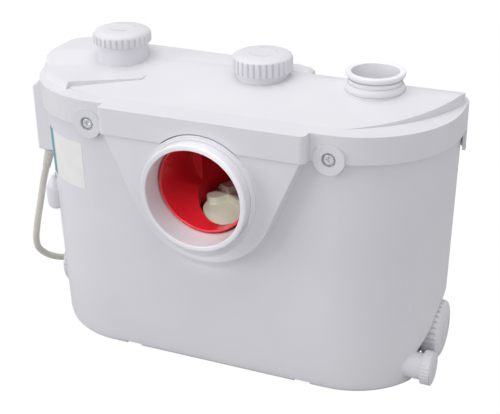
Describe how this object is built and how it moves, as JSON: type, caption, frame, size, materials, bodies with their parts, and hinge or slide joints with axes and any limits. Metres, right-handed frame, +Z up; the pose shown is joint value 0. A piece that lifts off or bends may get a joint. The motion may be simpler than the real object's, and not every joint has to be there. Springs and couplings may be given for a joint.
{
  "type": "macerator pump",
  "caption": "Floor-standing macerator pump in a white D-shaped tank with screw-capped inlets, a round front spigot, an outlet neck and a mains lead.",
  "frame": {"origin": "centre of the tank's base, on the floor", "axes": "+X along the tank towards the drain, -Y out of the inlet spigot at the front, +Z up"},
  "size_m": [0.4375, 0.287, 0.2982],
  "materials": {
    "white_moulding": "satin",
    "grey_moulding": "satin",
    "black_rubber": "matte",
    "steel": "satin",
    "cord_jacket": "satin",
    "red_moulding": "gloss",
    "cream_moulding": "satin",
    "motor_paint": "satin",
    "copper_winding": "satin",
    "label_paper": "matte",
    "label_teal": "matte",
    "black_plastic": "satin"
  },
  "bodies": {
    "casing": {"tank": "white_moulding", "lid": "white_moulding", "lid_gasket": "black_rubber", "lid_screws": "steel", "outlet_collar": "white_moulding", "valve_body": "grey_moulding", "cable_box": "white_moulding", "cable_box_screws": "steel", "strain_relief": "cord_jacket", "power_cord": "cord_jacket", "cord_coil": "cord_jacket", "cord_tie": "black_plastic", "mains_plug": "cord_jacket", "plug_pins": "steel", "supply_lead": "black_plastic", "motor_lead": "black_plastic", "blank_label": "label_paper", "stripe_label": "label_teal", "inlet_pot": "red_moulding", "motor_case": "motor_paint", "motor_cover": "motor_paint", "cover_screws": "steel", "stator_core": "steel", "stator_coils": "copper_winding", "top_bearing": "steel", "bottom_bearing": "steel", "top_seal": "black_rubber", "bottom_seal": "black_rubber", "pump_volute": "grey_moulding", "pump_base": "grey_moulding", "riser_pipe": "grey_moulding", "riser_clamps": "steel", "control_box": "grey_moulding", "run_capacitor": "black_plastic", "micro_switch": "black_plastic", "switch_housing": "grey_moulding", "switch_diaphragm": "black_rubber", "dip_tube": "grey_moulding"},
    "rotor": {"motor_shaft": "steel", "rotor_core": "steel", "cutter": "cream_moulding", "cutter_blades": "steel", "cutter_nut": "steel", "impeller": "cream_moulding"},
    "left_cap_carrier": {"left_cap_seal": "black_rubber"},
    "left_cap": {"left_cap": "white_moulding"},
    "centre_cap_carrier": {"centre_cap_seal": "black_rubber"},
    "centre_cap": {"centre_cap": "white_moulding"},
    "right_side_cap_carrier": {"right_side_seal": "black_rubber"},
    "right_side_cap": {"right_side_cap": "white_moulding"},
    "left_side_cap_carrier": {"left_side_seal": "black_rubber"},
    "left_side_cap": {"left_side_cap": "white_moulding"},
    "drain_plug_carrier": {"drain_seal": "black_rubber"},
    "drain_plug": {"drain_plug": "white_moulding"},
    "check_flap": {"valve_flap": "black_rubber"},
    "level_plunger": {"switch_plunger": "grey_moulding"}
  },
  "joints": [
    {"name": "rotor_spin", "type": "hinge", "parent": "casing", "child": "rotor", "pos_m": [0.02, 0, 0.1], "axis": [0, 0, 1], "continuous": true},
    {"name": "left_cap_lift", "type": "slide", "parent": "casing", "child": "left_cap_carrier", "axis": [0, 0, 1], "range_m": [0, 0.012]},
    {"name": "left_cap_turn", "type": "hinge", "parent": "left_cap_carrier", "child": "left_cap", "pos_m": [-0.13, 0.03, 0.29], "axis": [0, 0, 1], "range_deg": [0, 1082]},
    {"name": "centre_cap_lift", "type": "slide", "parent": "casing", "child": "centre_cap_carrier", "axis": [0, 0, 1], "range_m": [0, 0.012]},
    {"name": "centre_cap_turn", "type": "hinge", "parent": "centre_cap_carrier", "child": "centre_cap", "pos_m": [0.016, 0.03, 0.28], "axis": [0, 0, 1], "range_deg": [0, 1082]},
    {"name": "right_side_cap_lift", "type": "slide", "parent": "casing", "child": "right_side_cap_carrier", "axis": [1, 0, 0], "range_m": [0, 0.012]},
    {"name": "right_side_cap_turn", "type": "hinge", "parent": "right_side_cap_carrier", "child": "right_side_cap", "pos_m": [0.195, 0.03, 0.034], "axis": [1, 0, 0], "range_deg": [0, 1082]},
    {"name": "left_side_cap_lift", "type": "slide", "parent": "casing", "child": "left_side_cap_carrier", "axis": [-1, 0, 0], "range_m": [0, 0.0075]},
    {"name": "left_side_cap_turn", "type": "hinge", "parent": "left_side_cap_carrier", "child": "left_side_cap", "pos_m": [-0.2, 0.03, 0.034], "axis": [-1, 0, 0], "range_deg": [0, 677]},
    {"name": "drain_plug_lift", "type": "slide", "parent": "casing", "child": "drain_plug_carrier", "axis": [1, 0, 0], "range_m": [0, 0.007]},
    {"name": "drain_plug_turn", "type": "hinge", "parent": "drain_plug_carrier", "child": "drain_plug", "pos_m": [0.199, -0.0175, 0.0195], "axis": [1, 0, 0], "range_deg": [0, 1010]},
    {"name": "check_flap_swing", "type": "hinge", "parent": "casing", "child": "check_flap", "pos_m": [0.107, 0.03, 0.2278], "axis": [0, -1, 0], "range_deg": [0, 60]},
    {"name": "level_plunger_push", "type": "slide", "parent": "casing", "child": "level_plunger", "axis": [0, 0, 1], "range_m": [0, 0.0015], "stiffness_N_per_m": 200}
  ],
  "couplings": [
    {"joint": "left_cap_turn", "follows": "left_cap_lift", "rad_per_m": 1570.8},
    {"joint": "centre_cap_turn", "follows": "centre_cap_lift", "rad_per_m": 1570.8},
    {"joint": "right_side_cap_turn", "follows": "right_side_cap_lift", "rad_per_m": 1570.8},
    {"joint": "left_side_cap_turn", "follows": "left_side_cap_lift", "rad_per_m": 1570.8},
    {"joint": "drain_plug_turn", "follows": "drain_plug_lift", "rad_per_m": 2513.3}
  ]
}
